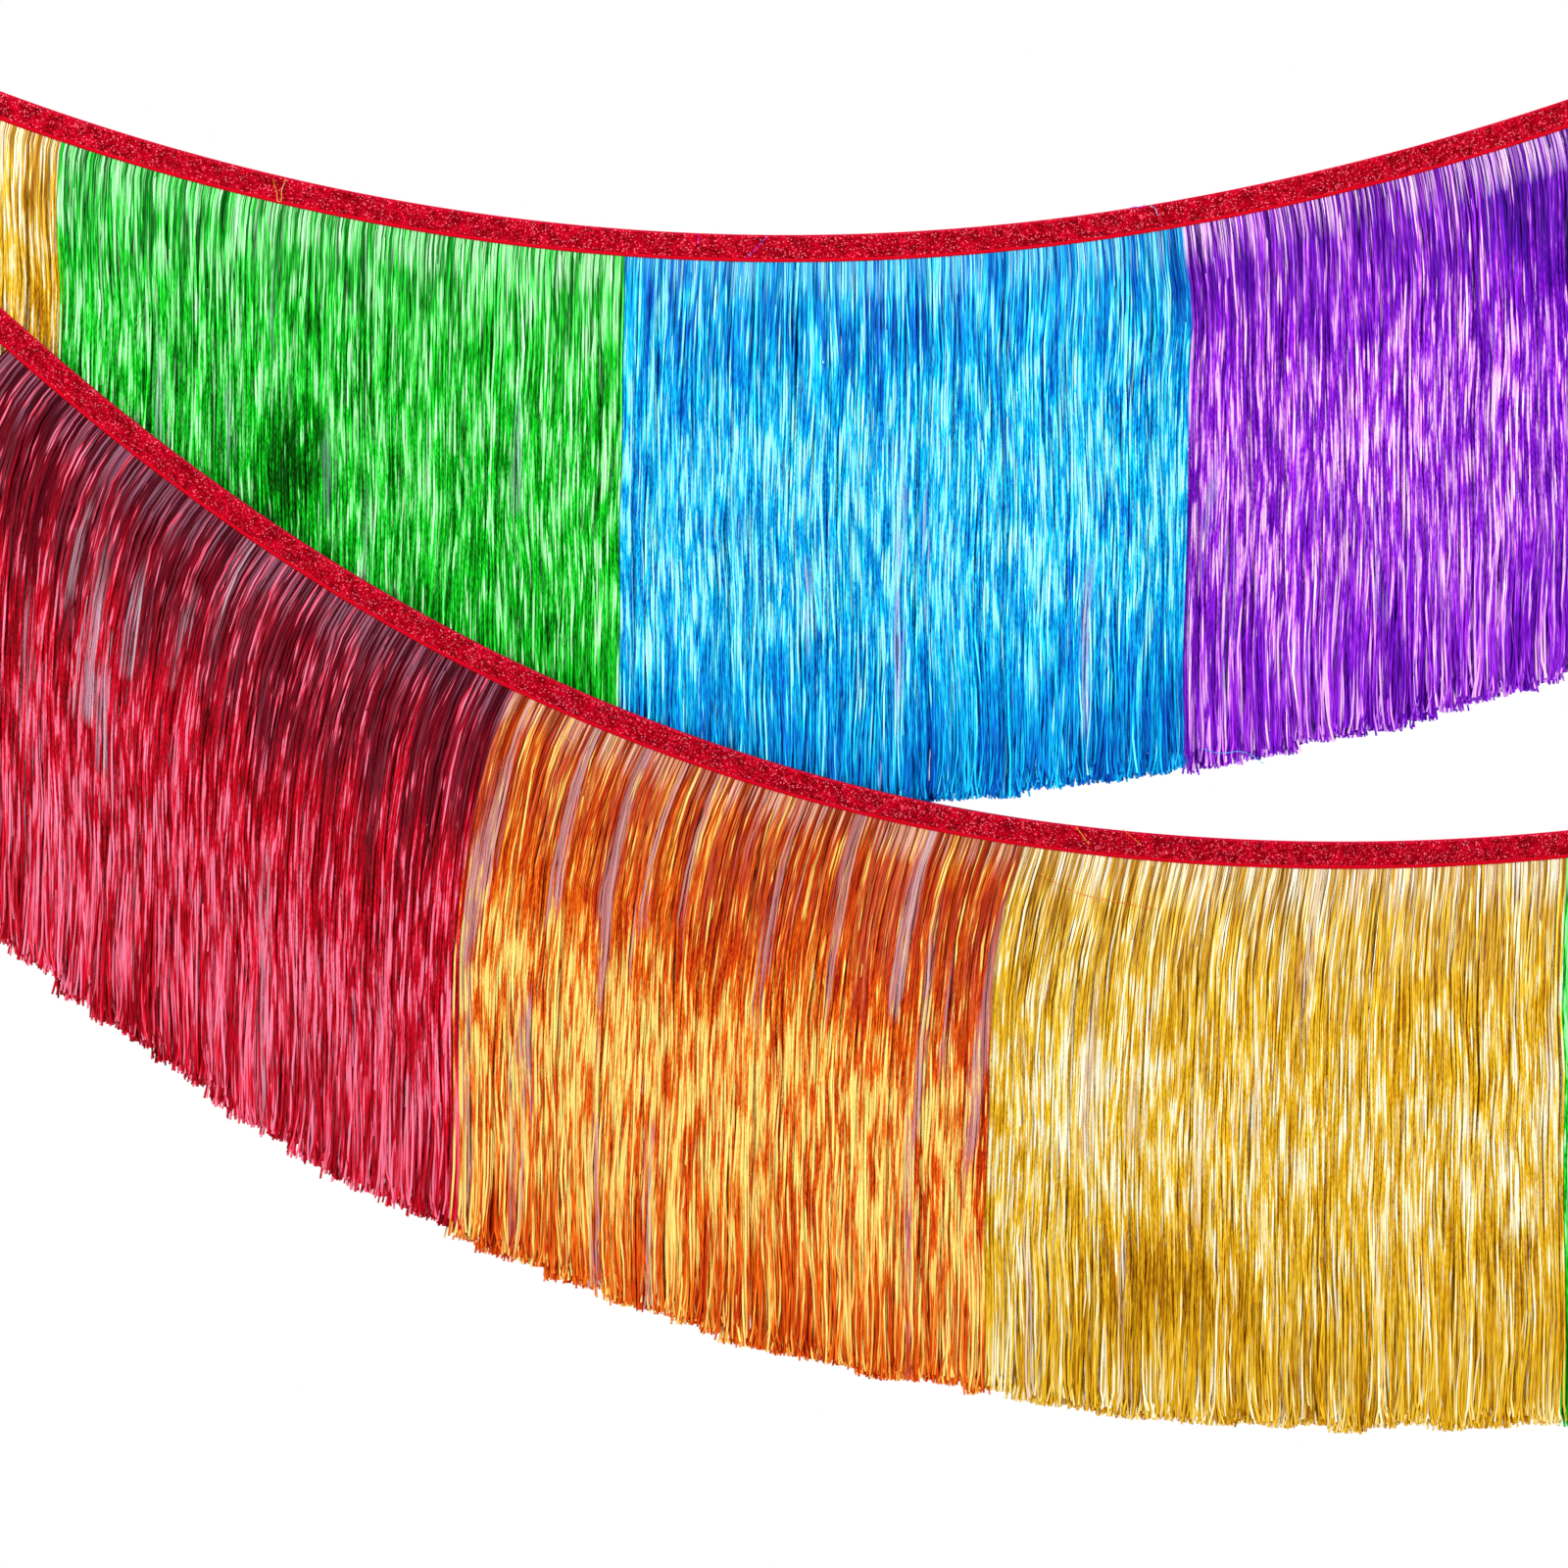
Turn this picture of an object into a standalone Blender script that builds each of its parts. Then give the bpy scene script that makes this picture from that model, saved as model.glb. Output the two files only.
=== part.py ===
# Foil fringe garland: two swags of folded red tape with rainbow panels of cut foil strips
# Metres, +Z up. Origin: the hanging point that both swags share, at their upper left
# The swags hang in planes that face -Y, the lower one in front of the upper one
import math
import random

import bmesh
import bpy
from mathutils import Vector

# Tape: one long strip folded over at its top edge
TAPE_WIDTH = 0.010
TAPE_WALL = 0.0005
FIT_GAP = 0.0003
TAPE_END_LENGTH = 0.030

# What lies in the fold
HEADING_THICKNESS = 0.0006
GLUE_HEIGHT = 0.0010
PANEL_GAP = 0.0016

# How the swags hang
SWAG_SPACING = 0.008
UPPER_LEAD_LENGTH = 0.077
UPPER_LEAD_SLOPE_SHARE = 0.627
LOWER_TAIL_LENGTH = 0.310
LOWER_TAIL_SLOPE_SHARE = 0.888

# Foil strips: length, the bar that joins them, and how soon they turn plumb
UPPER_STRIP_LENGTH = 0.197
LOWER_STRIP_LENGTH = 0.204
UPPER_DROOP_LENGTH = 0.016
LOWER_DROOP_LENGTH = 0.042
STRIP_THICKNESS = 0.0005
STRIP_BAR_HEIGHT = 0.0030
STRIP_CLEARANCE = 0.0008
STRIP_RAGGEDNESS = 0.0035
STRIP_LEAN = 0.0016
STRIPS_PER_PANEL = 42
STRIP_WIDTH_SHARE = 0.80
KNEE_SHARE = 1.3
PLUMB_STRIPS_AT_ENDS = 3
STRIP_SEED = 11

# Hanging loops of narrow ribbon
RIBBON_WIDTH = 0.005
RIBBON_THICKNESS = 0.0006
LOOP_LENGTH = 0.016
LOOP_HALF_BREADTH = 0.0055
LOOP_STEM_LENGTH = 0.003
LOOP_TONGUE_LENGTH = 0.010
LOOP_REACH = 0.010
LOOP_CLEARANCE = 0.0005

# Where a panel's hinge line crosses its sagging edge
HINGE_SHARES = (0.15, 0.85)

TAPE_STEPS_PER_PANEL = 12
STRIP_STEPS_PER_PANEL = 10
LOOP_STEPS = 20

# Panels from left to right: name, cut length, sag radius of the tape there, colour
UPPER_PANELS = (
    ("upper_gold", 0.204, 0.700, "gold_foil"),
    ("upper_green", 0.208, 0.792, "green_foil"),
    ("upper_blue", 0.202, 0.799, "blue_foil"),
    ("upper_purple", 0.204, 0.929, "purple_foil"),
)
LOWER_PANELS = (
    ("lower_red", 0.2205, 0.528, "red_foil"),
    ("lower_orange", 0.1915, 0.584, "orange_foil"),
    ("lower_gold", 0.196, 0.810, "gold_foil"),
    ("lower_green", 0.204, 1.100, "green_foil"),
)

# Colour, metallic and roughness
FINISHES = {
    "red_tape": ((0.50, 0.005, 0.02), 0.2, 0.45),
    "foil_heading": ((0.75, 0.75, 0.78), 0.8, 0.3),
    "clear_glue": ((0.85, 0.83, 0.75), 0.0, 0.4),
    "red_ribbon": ((0.42, 0.01, 0.02), 0.0, 0.6),
    "gold_foil": ((0.80, 0.48, 0.04), 0.9, 0.25),
    "green_foil": ((0.01, 0.50, 0.04), 0.9, 0.25),
    "blue_foil": ((0.01, 0.28, 0.85), 0.9, 0.25),
    "purple_foil": ((0.24, 0.03, 0.70), 0.9, 0.25),
    "red_foil": ((0.65, 0.01, 0.05), 0.9, 0.25),
    "orange_foil": ((0.75, 0.18, 0.01), 0.9, 0.25),
}

TAPE_SLOT = HEADING_THICKNESS + 2 * FIT_GAP
TAPE_THICKNESS = TAPE_SLOT + 2 * TAPE_WALL
FACING_BACK = (math.pi / 2, 0, 0)


class Swag:
    # One hanging tape, from the hanging point: a straight lead, then a catenary piece for each
    # panel, then a straight end. Slopes are rise over run and are positive where it falls
    def __init__(self, name, side, lead, slope, strip_length, droop, panels):
        self.name = name
        self.y = side * SWAG_SPACING / 2
        self.strip_length = strip_length
        self.droop = droop
        self.pieces = [(0, lead, Vector((0, 0)), slope, None)]
        self.panels = []
        start = lead
        point = self.walk(self.pieces[0], lead)
        for panel, length, radius, colour in panels:
            piece = (start, length, point, slope, radius)
            self.pieces.append(piece)
            self.panels.append((panel, start, length, colour))
            point = self.walk(piece, length)
            slope -= length / radius
            start += length
        self.pieces.append((start, TAPE_END_LENGTH, point, slope, None))
        self.length = start + TAPE_END_LENGTH

    @staticmethod
    def walk(piece, along):
        # The point that lies so far along one piece
        _, _, point, slope, radius = piece
        if radius is None:
            run = along / math.hypot(1, slope)
            return point + Vector((run, -slope * run))
        later = slope - along / radius
        run = radius * (math.asinh(slope) - math.asinh(later))
        fall = radius * (math.hypot(1, slope) - math.hypot(1, later))
        return point + Vector((run, -fall))

    def at(self, along):
        # Centre-line point, direction and downward normal of the tape, in the XZ plane
        piece = self.pieces[0]
        for other in self.pieces[1:]:
            if along >= other[0]:
                piece = other
        start, _, _, slope, radius = piece
        if radius is not None:
            slope -= (along - start) / radius
        direction = Vector((1, -slope)).normalized()
        normal = Vector((direction.y, -direction.x))
        return self.walk(piece, along - start), direction, normal

    def across(self, along, down):
        # A point of the tape's face, measured down from its centre line
        point, _, normal = self.at(along)
        return point + normal * down

    def hang(self, along, depth):
        # A foil strip leaves the tape's lower edge squarely and turns plumb by its own weight
        point, _, normal = self.at(along)
        turned = self.droop * (1 - math.exp(-depth / self.droop))
        return point + normal * (TAPE_WIDTH / 2 + turned) + Vector((0, -1)) * (depth - turned)


UPPER = Swag("upper", 1, UPPER_LEAD_LENGTH, UPPER_LEAD_SLOPE_SHARE,
             UPPER_STRIP_LENGTH, UPPER_DROOP_LENGTH, UPPER_PANELS)
LOWER = Swag("lower", -1, LOWER_TAIL_LENGTH, LOWER_TAIL_SLOPE_SHARE,
             LOWER_STRIP_LENGTH, LOWER_DROOP_LENGTH, LOWER_PANELS)


def steps(start, end, count):
    return [start + (end - start) * i / count for i in range(count + 1)]


def make_finish(name):
    colour, metallic, roughness = FINISHES[name]
    finish = bpy.data.materials.new(name)
    finish.use_nodes = True
    shader = finish.node_tree.nodes["Principled BSDF"]
    shader.inputs["Base Color"].default_value = (*colour, 1)
    shader.inputs["Metallic"].default_value = metallic
    shader.inputs["Roughness"].default_value = roughness
    return finish


def new_curve(name, outlines, dimensions="2D", closed=True):
    curve = bpy.data.curves.new(name, "CURVE")
    curve.dimensions = dimensions
    for outline in outlines:
        spline = curve.splines.new("POLY")
        spline.points.add(len(outline) - 1)
        for point, place in zip(spline.points, outline):
            point.co = (*Vector(place).to_3d(), 1)
        spline.use_cyclic_u = closed
    return curve


def add_object(name, data, finish, collection):
    data.materials.append(finish)
    item = bpy.data.objects.new(name, data)
    collection.objects.link(item)
    return item


def flat_plate(name, outlines, thickness, y, finish, collection):
    # A flat piece cut from sheet: its outline lies in the XZ plane, at the given depth
    curve = new_curve(name, outlines)
    curve.fill_mode = "BOTH"
    curve.extrude = thickness / 2
    plate = add_object(name, curve, finish, collection)
    plate.rotation_euler = FACING_BACK
    plate.location = (0, y, 0)
    return plate


def make_solid(item):
    # Turns a filled curve into a closed mesh, with its loose caps welded
    bpy.context.view_layer.update()
    evaluated = item.evaluated_get(bpy.context.evaluated_depsgraph_get())
    mesh = bpy.data.meshes.new_from_object(evaluated)
    mesh.transform(item.matrix_world)
    shape = bmesh.new()
    shape.from_mesh(mesh)
    bmesh.ops.remove_doubles(shape, verts=shape.verts, dist=FIT_GAP / 100)
    shape.to_mesh(mesh)
    shape.free()
    name = item.name
    collection = item.users_collection[0]
    bpy.data.objects.remove(item)
    solid = bpy.data.objects.new(name, mesh)
    collection.objects.link(solid)
    return solid


def make_tape(swag, finish, collection, guides):
    # The folded tape: an open U section swept along the swag, then given its wall
    half = (TAPE_SLOT + TAPE_WALL) / 2
    top = TAPE_WIDTH / 2 - TAPE_WALL / 2
    corner = half / 2
    section = [(half, -TAPE_WIDTH / 2), (half, top - corner), (half - corner, top),
               (corner - half, top), (-half, top - corner), (-half, -TAPE_WIDTH / 2)]
    profile = bpy.data.objects.new(
        swag.name + "_section", new_curve(swag.name + "_section", [section], "2D", False))
    profile.hide_render = True
    profile.display_type = "WIRE"
    guides.objects.link(profile)
    places = [LOOP_REACH]
    for start, length, _, _, radius in swag.pieces:
        count = TAPE_STEPS_PER_PANEL if radius else 1
        places += steps(start, start + length, count)[1:]
    route = [(swag.at(along)[0].x, 0, swag.at(along)[0].y) for along in places]
    curve = new_curve(swag.name + "_tape", [route], "3D", False)
    curve.twist_mode = "Z_UP"
    curve.bevel_mode = "OBJECT"
    curve.bevel_object = profile
    tape = add_object(swag.name + "_tape", curve, finish, collection)
    tape.location.y = swag.y
    wall = tape.modifiers.new("wall", "SOLIDIFY")
    wall.thickness = TAPE_WALL
    wall.offset = 0
    wall.use_even_offset = True
    return tape


def strip_between(swag, start, end, top, bottom):
    # Outline of a narrow strip that follows the tape between two depths
    places = steps(start, end, STRIP_STEPS_PER_PANEL)
    upper = [swag.across(along, top) for along in places]
    lower = [swag.across(along, bottom) for along in reversed(places)]
    return upper + lower


def make_heading(swag, panel, start, length, finishes, collection):
    # The uncut top of the panel's foil, and the bead of glue above it in the crease
    first = start + PANEL_GAP / 2
    last = start + length - PANEL_GAP / 2
    glue_top = -TAPE_WIDTH / 2 + TAPE_WALL + FIT_GAP
    heading_top = glue_top + GLUE_HEIGHT + FIT_GAP
    flat_plate(panel + "_glue", [strip_between(swag, first, last, glue_top, glue_top + GLUE_HEIGHT)],
               HEADING_THICKNESS, swag.y, finishes["clear_glue"], collection)
    flat_plate(panel + "_heading", [strip_between(swag, first, last, heading_top, TAPE_WIDTH / 2)],
               HEADING_THICKNESS, swag.y, finishes["foil_heading"], collection)


def hinge_line(swag, start, length):
    # The straight line that a panel sways about, near the tape's sagging lower edge
    left, right = [swag.hang(start + length * share, 0) for share in HINGE_SHARES]
    middle = (left + right) / 2
    return Vector((middle.x, swag.y, middle.y)), (right - left).normalized()


def make_fringe(swag, panel, start, length, finish, collection):
    # Foil strips joined by a bar along the tape's lower edge. Each turns plumb at its knee
    chance = random.Random(STRIP_SEED * len(panel) + len(collection.objects))
    first = start + PANEL_GAP / 2
    pitch = (length - PANEL_GAP) / STRIPS_PER_PANEL
    bar_top = STRIP_CLEARANCE
    bar_bottom = bar_top + STRIP_BAR_HEIGHT
    knee = bar_bottom + swag.droop * KNEE_SHARE
    outline = []
    leans = {}
    for along in reversed(steps(first, first + pitch * STRIPS_PER_PANEL, STRIP_STEPS_PER_PANEL)):
        outline.append(swag.hang(along, bar_top))
    for number in range(STRIPS_PER_PANEL):
        inset = pitch * (1 - STRIP_WIDTH_SHARE) / 2
        if number > 0:
            left = first + pitch * number + inset
        else:
            left = first
        if number < STRIPS_PER_PANEL - 1:
            right = first + pitch * (number + 1) - inset
        else:
            right = first + pitch * STRIPS_PER_PANEL
        ends = [swag.strip_length + chance.uniform(-1, 1) * STRIP_RAGGEDNESS for _ in range(2)]
        near_end = min(number, STRIPS_PER_PANEL - 1 - number) < PLUMB_STRIPS_AT_ENDS
        side = 0 if near_end else (1 if number % 2 else -1)
        lean = side * STRIP_LEAN * chance.uniform(0.6, 1)
        path = [(left, bar_bottom), (left, knee), (left, ends[0]),
                (right, ends[1]), (right, knee), (right, bar_bottom)]
        for along, depth in path:
            point = swag.hang(along, depth)
            outline.append(point)
            if depth > knee:
                leans[(round(point.x / FIT_GAP), round(point.y / FIT_GAP))] = lean
    flat = flat_plate(panel + "_fringe", [outline], STRIP_THICKNESS, swag.y, finish, collection)
    fringe = make_solid(flat)
    pivot, _ = hinge_line(swag, start, length)
    for vertex in fringe.data.vertices:
        place = vertex.co
        place.y += leans.get((round(place.x / FIT_GAP), round(place.z / FIT_GAP)), 0)
        vertex.co = place - pivot
    fringe.location = pivot
    return fringe


def ribbon_plate(name, outlines, place, angle, finish, collection):
    # A bent ribbon: its edge view lies in the plane of its direction and Y
    curve = new_curve(name, outlines)
    curve.fill_mode = "BOTH"
    curve.extrude = RIBBON_WIDTH / 2
    ribbon = add_object(name, curve, finish, collection)
    ribbon.rotation_euler = (0, angle, 0)
    ribbon.location = place
    return ribbon


def falling_angle(direction):
    return math.atan2(-direction.y, direction.x)


def left_loop_angle():
    # Halfway between the directions of the two leads
    return (falling_angle(UPPER.at(0)[1]) + falling_angle(LOWER.at(0)[1])) / 2


def make_left_loop(finish, collection):
    # One ribbon runs out of the upper tape, round the hanging point and into the lower tape
    reach = LOOP_REACH + LOOP_TONGUE_LENGTH
    outer = SWAG_SPACING / 2 + RIBBON_THICKNESS / 2
    inner = outer - RIBBON_THICKNESS
    turns = steps(math.pi / 2, 3 * math.pi / 2, LOOP_STEPS)
    outline = [(reach, outer)]
    outline += [(outer * math.cos(turn), outer * math.sin(turn)) for turn in turns]
    outline += [(reach, -outer), (reach, -inner)]
    outline += [(inner * math.cos(turn), inner * math.sin(turn)) for turn in reversed(turns)]
    outline += [(reach, inner)]
    return ribbon_plate("left_hanging_loop", [outline], (0, 0, 0), left_loop_angle(), finish, collection)


def eye(length, half_breadth, start):
    # A drop shape with its point at the start, as a ribbon takes when it is folded in two
    points = []
    for turn in steps(0, 2 * math.pi, LOOP_STEPS)[:-1]:
        along = start + length * (1 - math.cos(turn)) / 2
        points.append((along, half_breadth * math.sin(turn) * math.sin(turn / 2)))
    return points


def loop_pivot(swag):
    # A right-hand loop turns where its ribbon leaves the tape
    point, direction, _ = swag.at(swag.length)
    place = point + direction * (LOOP_STEM_LENGTH + LOOP_CLEARANCE / 2)
    return Vector((place.x, swag.y, place.y)), falling_angle(direction)


def make_right_loop(swag, finish, collection):
    # The tongue is held in the fold, and the eye outside turns against it
    pivot, angle = loop_pivot(swag)
    half = RIBBON_THICKNESS / 2
    near = LOOP_CLEARANCE / 2
    tongue_start = -near - LOOP_STEM_LENGTH - LOOP_TONGUE_LENGTH
    tongue = [(tongue_start, half), (tongue_start, -half), (-near, -half), (-near, half)]
    name = swag.name + "_right_loop"
    ribbon_plate(name + "_tongue", [tongue], pivot, angle, finish, collection)
    stem = near + LOOP_STEM_LENGTH
    outer = [point for point in eye(LOOP_LENGTH, LOOP_HALF_BREADTH, stem) if abs(point[1]) > half
             or point[0] > stem + LOOP_LENGTH / 2]
    outline = [(near, -half), (stem, -half)] + [(x, -y) for x, y in outer] + [(stem, half), (near, half)]
    hole = eye(LOOP_LENGTH - 3 * RIBBON_THICKNESS, LOOP_HALF_BREADTH - RIBBON_THICKNESS,
               stem + 2 * RIBBON_THICKNESS)
    return ribbon_plate(name, [outline, hole], pivot, angle, finish, collection)


def new_collection(name):
    collection = bpy.data.collections.new(name)
    bpy.context.scene.collection.children.link(collection)
    return collection


def main():
    for item in list(bpy.data.objects):
        bpy.data.objects.remove(item)
    garland = new_collection("foil_fringe_garland")
    guides = new_collection("guides")
    finishes = {name: make_finish(name) for name in FINISHES}
    for swag in (UPPER, LOWER):
        make_tape(swag, finishes["red_tape"], garland, guides)
        for panel, start, length, colour in swag.panels:
            make_heading(swag, panel, start, length, finishes, garland)
            make_fringe(swag, panel, start, length, finishes[colour], garland)
        make_right_loop(swag, finishes["red_ribbon"], garland)
    make_left_loop(finishes["red_ribbon"], garland)


main()
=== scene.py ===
import math

import bpy
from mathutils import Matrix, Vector


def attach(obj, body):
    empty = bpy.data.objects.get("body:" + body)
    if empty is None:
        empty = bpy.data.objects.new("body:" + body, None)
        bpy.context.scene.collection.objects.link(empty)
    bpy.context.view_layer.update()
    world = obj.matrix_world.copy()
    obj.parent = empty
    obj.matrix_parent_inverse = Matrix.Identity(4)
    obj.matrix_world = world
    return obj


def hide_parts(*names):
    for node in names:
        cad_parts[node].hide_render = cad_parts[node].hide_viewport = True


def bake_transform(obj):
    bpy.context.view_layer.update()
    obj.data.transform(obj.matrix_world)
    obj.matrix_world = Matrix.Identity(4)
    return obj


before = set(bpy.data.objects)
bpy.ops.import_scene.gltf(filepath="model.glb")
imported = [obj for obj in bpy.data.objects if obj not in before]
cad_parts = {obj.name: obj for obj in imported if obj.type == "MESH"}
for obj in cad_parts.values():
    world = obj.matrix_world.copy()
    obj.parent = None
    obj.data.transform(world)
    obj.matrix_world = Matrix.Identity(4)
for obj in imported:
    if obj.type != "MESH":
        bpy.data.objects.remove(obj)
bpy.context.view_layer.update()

print("frame loaded")


# Small helpers for node trees
def findSocket(sockets, key):
    if isinstance(key, int):
        return sockets[key]
    return next(s for s in sockets if s.name == key and s.enabled)


def addNode(tree, kind, inputs=None, **settings):
    node = tree.nodes.new(kind)
    for name, value in settings.items():
        setattr(node, name, value)
    for key, value in (inputs or {}).items():
        socket = findSocket(node.inputs, key)
        if isinstance(value, bpy.types.NodeSocket):
            tree.links.new(value, socket)
        else:
            socket.default_value = value
    return node


def treeOf(*values):
    # A socket knows its tree
    return next(value.id_data for value in values if isinstance(value, bpy.types.NodeSocket))


def maths(operation, *values):
    node = addNode(treeOf(*values), "ShaderNodeMath", dict(enumerate(values)), operation=operation)
    return node.outputs[0]


def times(a, b):
    return maths("MULTIPLY", a, b)


def plus(a, b):
    return maths("ADD", a, b)


def minus(a, b):
    return maths("SUBTRACT", a, b)


def divided(a, b):
    return maths("DIVIDE", a, b)


def timesPlus(a, b, c):
    return maths("MULTIPLY_ADD", a, b, c)


def fading(value):
    # 1 at zero, then falling towards 0
    return maths("EXPONENT", times(value, -1.0))


def easing(value):
    # 0 at zero, then rising towards 1
    return minus(1.0, fading(value))


def vectors(operation, *values):
    node = addNode(treeOf(*values), "ShaderNodeVectorMath", dict(enumerate(values)), operation=operation)
    return node.outputs["Value" if operation in ("DOT_PRODUCT", "LENGTH") else "Vector"]


def scaled(vector, factor):
    inputs = {0: vector, "Scale": factor}
    return addNode(treeOf(vector, factor), "ShaderNodeVectorMath", inputs, operation="SCALE").outputs[0]


def combined(x, y, z):
    return addNode(treeOf(x, y, z), "ShaderNodeCombineXYZ", {0: x, 1: y, 2: z}).outputs[0]


def partOf(vector, number):
    return addNode(treeOf(vector), "ShaderNodeSeparateXYZ", {0: vector}).outputs[number]


def ranged(value, low, high, newLow, newHigh):
    inputs = {"Value": value, "From Min": low, "From Max": high, "To Min": newLow, "To Max": newHigh}
    return addNode(treeOf(value), "ShaderNodeMapRange", inputs).outputs[0]


def noise(vector, scale, detail=1.0):
    # Centred on zero, so that it can be added to anything
    inputs = {"Vector": vector, "Scale": scale, "Detail": detail}
    return minus(addNode(treeOf(vector), "ShaderNodeTexNoise", inputs).outputs[0], 0.5)


def noiseAt(x, y, z, detail=1.0):
    return noise(combined(x, y, z), 1.0, detail)


def shaped(tree, kind, inputs=None, **settings):
    return addNode(tree, "GeometryNode" + kind, inputs, **settings).outputs[0]


def drawn(tree, low, high, seed, kind="FLOAT", label=None):
    # A random number or vector between two others, for each point or each label
    first = 0 if kind == "FLOAT_VECTOR" else 2
    inputs = {first: low, first + 1: high, "Seed": seed}
    if label is not None:
        inputs["ID"] = label
    return addNode(tree, "FunctionNodeRandomValue", inputs, data_type=kind).outputs[first // 2]


def keep(geometry, label, value, kind="FLOAT"):
    inputs = {"Geometry": geometry, "Name": label, "Value": value}
    return shaped(treeOf(geometry), "StoreNamedAttribute", inputs, data_type=kind, domain="POINT")


def recall(tree, label, kind="FLOAT"):
    node = addNode(tree, "GeometryNodeInputNamedAttribute", {"Name": label}, data_type=kind)
    return findSocket(node.outputs, "Attribute")


def objectPlace(tree):
    return tree.nodes.new("ShaderNodeTexCoord").outputs["Object"]


# Helpers for finishes
def srgb(red, green, blue):
    # Colours are written as they look on screen, 0 to 255
    def linear(part):
        part /= 255
        return part / 12.92 if part <= 0.04045 else ((part + 0.055) / 1.055) ** 2.4
    return (linear(red), linear(green), linear(blue), 1.0)


def newFinish(name, roughness, metallic, specular):
    material = bpy.data.materials.new(name)
    material.use_nodes = True
    shader = material.node_tree.nodes["Principled BSDF"]
    shader.inputs["Roughness"].default_value = roughness
    shader.inputs["Metallic"].default_value = metallic
    shader.inputs["Specular IOR Level"].default_value = specular
    return material, material.node_tree, shader


def attribute(tree, label):
    return addNode(tree, "ShaderNodeAttribute", attribute_name=label).outputs["Fac"]


def ramped(value, stops):
    # Stops are (position, colour) pairs, or (position, level) pairs for a plain value
    ramp = addNode(treeOf(value), "ShaderNodeValToRGB", {"Fac": value})
    elements = ramp.color_ramp.elements
    while len(elements) < len(stops):
        elements.new(0.5)
    for element, (position, tone) in zip(elements, stops):
        element.position = position
        element.color = srgb(*tone) if isinstance(tone, tuple) else (tone, tone, tone, 1.0)
    return ramp.outputs["Color"]


def mixed(share, under, over):
    inputs = {"Factor": share, "A": under, "B": over}
    return findSocket(addNode(treeOf(share), "ShaderNodeMix", inputs, data_type="RGBA").outputs, "Result")


def closeFinish(shader, colour, height, strength, distance, skin=None):
    # The skin is the roughness at the usual lowest and highest level of the height's noise
    tree = treeOf(colour)
    lowest, highest = -0.2, 0.2
    tree.links.new(colour, shader.inputs["Base Color"])
    if skin is not None:
        tree.links.new(ranged(height, lowest, highest, *skin), shader.inputs["Roughness"])
    bump = addNode(tree, "ShaderNodeBump", {"Strength": strength, "Distance": distance, "Height": height})
    tree.links.new(bump.outputs[0], shader.inputs["Normal"])


# The two swags, in metres, from the hanging point at the upper left. Droops, strips and leans are given at
# the ends of the panels, a bulge by its place along the swag, its depth and its shift, and a panel by its
# colour, its length and the radius of its catenary
tape = {"width": 0.010, "thickness": 0.0022, "wall": 0.0005, "endLength": 0.030, "loopReach": 0.010}
upperSwag = {
    "name": "upper", "y": 0.004, "lead": 0.077, "slope": 0.627, "seed": 7.7,
    "droops": [0.0015, 0.002, 0.004, 0.014, 0.024], "bulge": (0.691, 0.030, 0.0020),
    "strips": [0.197, 0.197, 0.197, 0.196, 0.197],
    "leans": [0.0005, 0.0005, 0.0015, 0.0015, 0.0015],
    "panels": [("gold", 0.204, 0.700), ("green", 0.208, 0.792), ("blue", 0.202, 0.799),
               ("purple", 0.204, 0.929)],
}
lowerSwag = {
    "name": "lower", "y": -0.004, "lead": 0.310, "slope": 0.888, "seed": 31.0,
    "droops": [0.028, 0.042, 0.042, 0.042, 0.042], "bulge": (0.722, 0.100, 0.0),
    "strips": [0.2005, 0.1985, 0.1965, 0.2035, 0.204],
    "leans": [0.003, 0.0035, 0.009, 0.006, 0.003],
    "panels": [("red", 0.2205, 0.528), ("orange", 0.1915, 0.584), ("gold", 0.196, 0.810),
               ("green", 0.204, 1.100)],
}


def alongPiece(piece, run):
    # A straight lead or end has no radius, a panel hangs as part of a catenary
    _, point, slope, radius = piece
    if radius is None:
        across = run / math.hypot(1, slope)
        return point + Vector((across, -slope * across)), slope
    later = slope - run / radius
    across = radius * (math.asinh(slope) - math.asinh(later))
    fall = radius * (math.hypot(1, slope) - math.hypot(1, later))
    return point + Vector((across, -fall)), later


def layOut(swag):
    # Joins the lead, the panels and the bare end into one line
    pieces = [(0, Vector((0, 0)), swag["slope"], None)]
    start = swag["lead"]
    swag["starts"] = []
    for _, length, radius in swag["panels"]:
        point, slope = alongPiece(pieces[-1], start - pieces[-1][0])
        pieces.append((start, point, slope, radius))
        swag["starts"].append(start)
        start += length
    point, slope = alongPiece(pieces[-1], start - pieces[-1][0])
    pieces.append((start, point, slope, None))
    swag["pieces"] = pieces
    swag["length"] = start + tape["endLength"]


def tapePoint(swag, along, down=0):
    # A point on the tape, and the tape's direction there
    piece = [piece for piece in swag["pieces"] if piece[0] <= max(along, 0)][-1]
    point, slope = alongPiece(piece, along - piece[0])
    direction = Vector((1, -slope)).normalized()
    point = point + Vector((direction.y, -direction.x)) * down
    return Vector((point.x, swag["y"], point.y)), Vector((direction.x, 0, direction.y))


for swag in (upperSwag, lowerSwag):
    layOut(swag)


# Camera and light
view = {"centre": (0.5093, -0.3664), "distance": 3.0, "width": 0.568, "sensor": 36.0}
lamps = {  # place, size and power
    "frontLamp": ((0.1, -2.2, 0.9), (1.4, 1.0), 12.0),
    "rightLamp": ((2.0, -1.2, 0.1), (0.5, 1.2), 6.0),
    "backLamp": ((0.3, 2.0, 0.8), (1.4, 1.0), 12.0),
}
studio = {
    "ambient": 1.0, "floorPlace": (0.5, 0, -0.95), "floorRadius": 1.6, "floorTone": (238, 238, 238),
    "floorShine": (0.9, 0.0, 0.3),
}


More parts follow.
